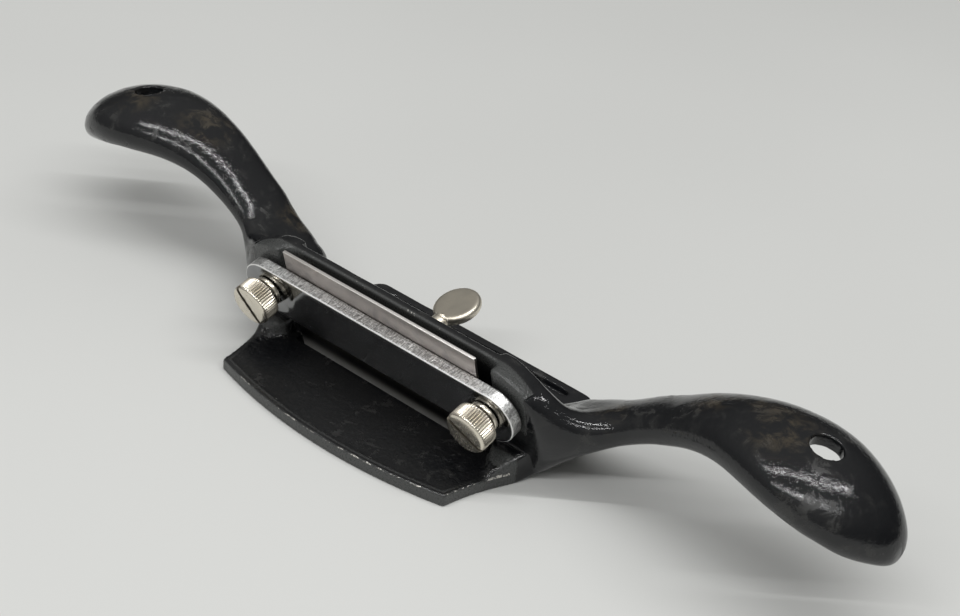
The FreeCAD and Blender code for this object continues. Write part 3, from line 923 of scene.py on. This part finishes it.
def cut_slot(piece, width, depth, face_z, lean, reach):
    """Cuts a plain screwdriver slot into the face at face_z, turned by lean."""
    bm = bmesh.new()
    bmesh.ops.create_cube(bm, size=1.0)
    for v in bm.verts:
        v.co = Vector((v.co.x * width, v.co.y * 2 * reach, v.co.z * 2 * depth + face_z))
        v.co.rotate(Matrix.Rotation(lean, 3, "Z"))
    cutter = object_from_bmesh("slot_cutter", bm)
    tool = piece.modifiers.new("slot", "BOOLEAN")
    tool.operation = "DIFFERENCE"
    tool.solver = "EXACT"
    tool.object = cutter
    graph = bpy.context.evaluated_depsgraph_get()
    mesh = bpy.data.meshes.new_from_object(piece.evaluated_get(graph))
    piece.modifiers.clear()
    piece.data = mesh
    bpy.data.objects.remove(cutter)


def clamp_screw(side, material):
    """Knurled clamp screw: chamfered drum, slot, grooved collar and threaded shank."""
    node = "clamp_screw_" + side
    joint = JOINTS[node + "_turn"]
    head_r = axis_distance(points_of(node), node + "_turn").max()
    base = Vector(joint["pos_m"])
    back_low, back_high = extent(node, BACK)
    collar_back = extent("clamp_bar", BACK)[0] - 0.04 * MM
    origin = base + BACK * (collar_back - base.dot(BACK))
    matrix = lean_matrix(origin)
    face_z = collar_back - back_low
    shank_z = collar_back - back_high
    groove = COLLAR_L / 2
    rim_z = face_z - 1.0 * MM
    profile = [
        (0, 0), (COLLAR_R - 0.15 * MM, 0), (COLLAR_R, 0.12 * MM), (COLLAR_R, groove - 0.17 * MM),
        (COLLAR_R - 0.05 * MM, groove - 0.12 * MM), (COLLAR_GROOVE_R, groove - 0.10 * MM),
        (COLLAR_GROOVE_R, groove + 0.10 * MM), (COLLAR_R - 0.05 * MM, groove + 0.12 * MM),
        (COLLAR_R, groove + 0.17 * MM), (COLLAR_R, COLLAR_L - 0.05 * MM), (COLLAR_R + 0.05 * MM, COLLAR_L),
        (head_r - 0.35 * MM, COLLAR_L), (head_r - 0.10 * MM, COLLAR_L + 0.08 * MM),
        (head_r, COLLAR_L + 0.25 * MM),
    ]
    drum = [(head_r, COLLAR_L + 0.25 * MM + (rim_z - COLLAR_L - 0.4 * MM) * i / 6) for i in range(1, 7)]
    rim = []
    for i in range(1, 8):
        a = math.pi / 2 * i / 7
        rim.append((head_r - 1.05 * MM * (1 - math.cos(a)), rim_z + 0.92 * MM * math.sin(a)))
    face = [(head_r - 1.5 * MM, face_z - 0.03 * MM), (head_r - 2.4 * MM, face_z)]
    face += [(1.5 * MM, face_z), (0, face_z)]
    knurl_start = COLLAR_L + 0.1 * MM

    def knurled(r, z, ang):
        wave = 0.5 - 0.5 * math.cos(KNURLS * ang)
        ends = min(max((z - knurl_start) / (0.25 * MM), 0), max((rim_z + 0.45 * MM - z) / (0.5 * MM), 0), 1)
        return r - KNURL_DEPTH * ends * wave ** 0.8

    bm = bmesh.new()
    lathe(bm, profile + drum + rim + face, KNURLS * STEPS_PER_KNURL, knurled)
    piece = object_from_bmesh("knob_" + side, bm)
    cut_slot(piece, SLOT_W, SLOT_DEPTH, face_z, SLOT_LEANS[side], head_r + 1 * MM)
    bm = bmesh.new()
    bm.from_mesh(piece.data)
    pitch = 2 * math.pi / frame["record"]["behaviour"]["couplings"][0]["ratio"]
    threaded_rod(bm, 3.1 * MM, pitch, shank_z, 0.1 * MM)
    bmesh.ops.recalc_face_normals(bm, faces=bm.faces)
    bm.to_mesh(piece.data)
    bm.free()
    co = coordinates(piece.data)
    r = np.linalg.norm(co[:, :2], axis=1)
    ang = np.arctan2(co[:, 1], co[:, 0])
    in_drum = (co[:, 2] > COLLAR_L) & (co[:, 2] < rim_z + 0.3 * MM) & (r > COLLAR_R + 0.8 * MM)
    hollow = 0.75 * in_drum * (0.5 - 0.5 * np.cos(KNURLS * ang)) ** 1.5
    lean = SLOT_LEANS[side]
    across = np.abs(co[:, 0] * math.cos(lean) + co[:, 1] * math.sin(lean))
    hollow[(across < SLOT_W * 0.51) & (co[:, 2] > face_z - SLOT_DEPTH * 1.05)] = 0.9
    hollow[(r < COLLAR_GROOVE_R * 1.01) & (co[:, 2] > 0.5 * MM) & (co[:, 2] < COLLAR_L)] = 1.0
    store_attribute(piece.data, "hollow", hollow)
    piece.data.transform(matrix)
    shade_smooth(piece, 45)
    finish_piece(piece, "screw_" + side, node, material)
    return piece


SPADE_TURN = math.radians(9)
SPADE_VOXEL = 0.22 * MM
SPADE_T = 3.0 * MM
SPADE_LONG_R = 7.4 * MM
SPADE_EDGE = 1.035 * MM
SPADE_DULL = 0.40


def bow_screw(material):
    """Thumb screw: oval spade with a rolled rim, drawn neck and threaded shank."""
    node = "bow_screw"
    joint = JOINTS["bow_screw_turn"]
    base = Vector(joint["pos_m"])
    tip_back, end_back = extent(node, BACK)
    matrix = lean_matrix(base + BACK * (tip_back - base.dot(BACK)))
    length = end_back - tip_back
    across = axis_distance(points_of(node), "bow_screw_turn").max()
    half_t = SPADE_T / 2
    along = SPADE_LONG_R
    middle = length - along
    turn = Matrix.Rotation(SPADE_TURN, 4, "Z")
    bm = bmesh.new()
    layers = []
    for i in range(7):
        a = math.pi * i / 6
        layers.append((SPADE_EDGE * (1 - math.sin(a)), half_t * -math.cos(a)))
    rings = []
    for inset, offset in layers:
        ring = []
        for k in range(96):
            t = 2 * math.pi * k / 96
            p = Vector(((across - inset) * math.cos(t), offset, -middle + (along - inset) * math.sin(t)))
            ring.append(bm.verts.new(turn @ p))
        rings.append(ring)
    for a, b in zip(rings, rings[1:]):
        bridge(bm, a, b)
    bm.faces.new(rings[0])
    bm.faces.new(list(reversed(rings[-1])))
    neck_start = -(length - 2 * along + 1.8 * MM)
    neck = [(0, neck_start + 4 * MM), (2.7 * MM, neck_start + 4 * MM), (2.7 * MM, neck_start + 1.8 * MM),
            (1.6 * MM, neck_start + 0.4 * MM), (1.1 * MM, neck_start - 3.2 * MM), (0, neck_start - 3.2 * MM)]
    lathe(bm, neck, 48)
    piece = object_from_bmesh("bow_screw_piece", bm)
    voxel_skin(piece, SPADE_VOXEL)
    co = coordinates(piece.data)
    edges = edge_pairs(piece.data)
    co = relax(co, edges, np.full(len(co), EASE), 5)
    joined = smooth_step(co[:, 2], -length + 1.35 * along, -length + 1.6 * along)
    co = relax(co, edges, EASE * joined, 5)
    piece.data.vertices.foreach_set("co", co.ravel())
    bm = bmesh.new()
    bm.from_mesh(piece.data)
    threaded_rod(bm, 2.7 * MM, BOW_PITCH, neck_start + 1.0 * MM, 0.0)
    bmesh.ops.recalc_face_normals(bm, faces=bm.faces)
    bm.to_mesh(piece.data)
    bm.free()
    co = coordinates(piece.data)
    r = np.linalg.norm(co[:, :2], axis=1)
    hollow = 0.8 * (co[:, 2] > neck_start + 1.5 * MM) * smooth_step(2.7 * MM - r, 0.15 * MM, THREAD_DEPTH)
    flat = np.abs(vertex_normals(piece.data, co) @ np.array(turn.to_3x3() @ Vector((0, 1, 0))))
    on_spade = 1 - smooth_step(co[:, 2], -length + 1.9 * along, -length + 2.1 * along)
    hollow = np.maximum(hollow, SPADE_DULL * on_spade * smooth_step(flat, 0.90, 0.99))
    store_attribute(piece.data, "hollow", hollow)
    piece.data.transform(matrix)
    shade_smooth(piece, 60)
    finish_piece(piece, "bow", node, material)
    return piece


# ---------------------------------------------------------------- stage, light, camera

FLOOR_HALF = 4.0
STRIP_LENGTH = 2.2
STRIP_WIDTH = 0.02
STRIP_DISTANCE = 1.4
STRIPS = {
    "strip_overhead": ((0.08, 0.02, 1.0), 11.0),
    "strip_front": ((0.32, -0.46, 0.82), 9.5),
}
WORLD_LOW = 0.08       # round the horizon, behind the object
WORLD_HIGH = 0.43      # straight above
WORLD_FRONT = 0.24     # added round the horizon, in front of the object
CAMERA_TARGET = Vector((2.0, 25.1, 20.0)) * MM
CAMERA_DISTANCE = 492 * MM
CAMERA_AZIMUTH = math.radians(37.16)
CAMERA_ELEVATION = math.radians(31.81)
CAMERA_ROLL = math.radians(6.72)
SENSOR_WIDTH = 36.0
LENS = 64.68
CAMERA_SHIFT = (0.0075, -0.0032)


def view_axes():
    """Camera's right, up and backward directions, with its roll."""
    ce = math.cos(CAMERA_ELEVATION)
    away = Vector((math.sin(CAMERA_AZIMUTH) * ce, -math.cos(CAMERA_AZIMUTH) * ce, math.sin(CAMERA_ELEVATION)))
    right = (-away).cross(Vector((0, 0, 1))).normalized()
    up = right.cross(-away)
    turned_right = right * math.cos(CAMERA_ROLL) + up * math.sin(CAMERA_ROLL)
    turned_up = up * math.cos(CAMERA_ROLL) - right * math.sin(CAMERA_ROLL)
    return turned_right, turned_up, away


def camera():
    right, up, away = view_axes()
    data = bpy.data.cameras.new("camera")
    data.sensor_width = SENSOR_WIDTH
    data.lens = LENS
    data.shift_x, data.shift_y = CAMERA_SHIFT
    data.clip_start = 0.02
    cam = bpy.data.objects.new("camera", data)
    matrix = Matrix((right, up, away)).transposed().to_4x4()
    matrix.translation = CAMERA_TARGET + away * CAMERA_DISTANCE
    cam.matrix_world = matrix
    bpy.context.scene.collection.objects.link(cam)
    bpy.context.scene.camera = cam


def strip_light(name, direction, power):
    """Long soft strip above the table, its length across the view."""
    data = bpy.data.lights.new(name, "AREA")
    data.shape = "RECTANGLE"
    data.size = STRIP_LENGTH
    data.size_y = STRIP_WIDTH
    data.energy = power
    light = bpy.data.objects.new(name, data)
    away = Vector(direction).normalized()
    across = view_axes()[0]
    across.z = 0
    along = (across - away * across.dot(away)).normalized()
    matrix = Matrix((along, away.cross(along), away)).transposed().to_4x4()
    matrix.translation = away * STRIP_DISTANCE
    light.matrix_world = matrix
    bpy.context.scene.collection.objects.link(light)


def stage():
    bm = bmesh.new()
    bmesh.ops.create_grid(bm, x_segments=1, y_segments=1, size=FLOOR_HALF)
    floor = object_from_bmesh("floor", bm)
    floor.data.materials.append(pale_floor())
    for name, (direction, power) in STRIPS.items():
        strip_light(name, direction, power)
    world = bpy.data.worlds.new("studio")
    bpy.context.scene.world = world
    world.use_nodes = True
    tree = world.node_tree
    background = tree.nodes["Background"]
    place = tree.nodes.new("ShaderNodeTexCoord")
    split = tree.nodes.new("ShaderNodeSeparateXYZ")
    tree.links.new(place.outputs["Generated"], split.inputs[0])
    terms = []
    # axis, where the change starts and ends along it, and the brightness at each end
    upward = ("Z", 0.25, 0.95, WORLD_LOW, WORLD_HIGH)
    forward = ("Y", 0.3, -0.9, 0.0, WORLD_FRONT)
    for axis, start, end, low, high in (upward, forward):
        ramp = tree.nodes.new("ShaderNodeMapRange")
        tree.links.new(split.outputs[axis], ramp.inputs["Value"])
        for socket, value in zip(list(ramp.inputs)[1:5], (start, end, low, high)):
            socket.default_value = value
        terms.append(ramp.outputs["Result"])
    total = tree.nodes.new("ShaderNodeMath")
    tree.links.new(terms[0], total.inputs[0])
    tree.links.new(terms[1], total.inputs[1])
    tree.links.new(total.outputs[0], background.inputs["Strength"])
    background.inputs["Color"].default_value = (1.0, 1.0, 0.98, 1)
    bpy.context.scene.view_settings.view_transform = "Standard"


# ---------------------------------------------------------------- build

cast_body(japanned_iron())
scraper_blade(brushed_blade())
clamp_bar(clamp_steel())
nickel = warm_nickel("knurled_nickel", 0.0)
for side in ("left", "right"):
    clamp_screw(side, nickel)
bow_screw(warm_nickel("satin_nickel", 0.12))
stage()
camera()
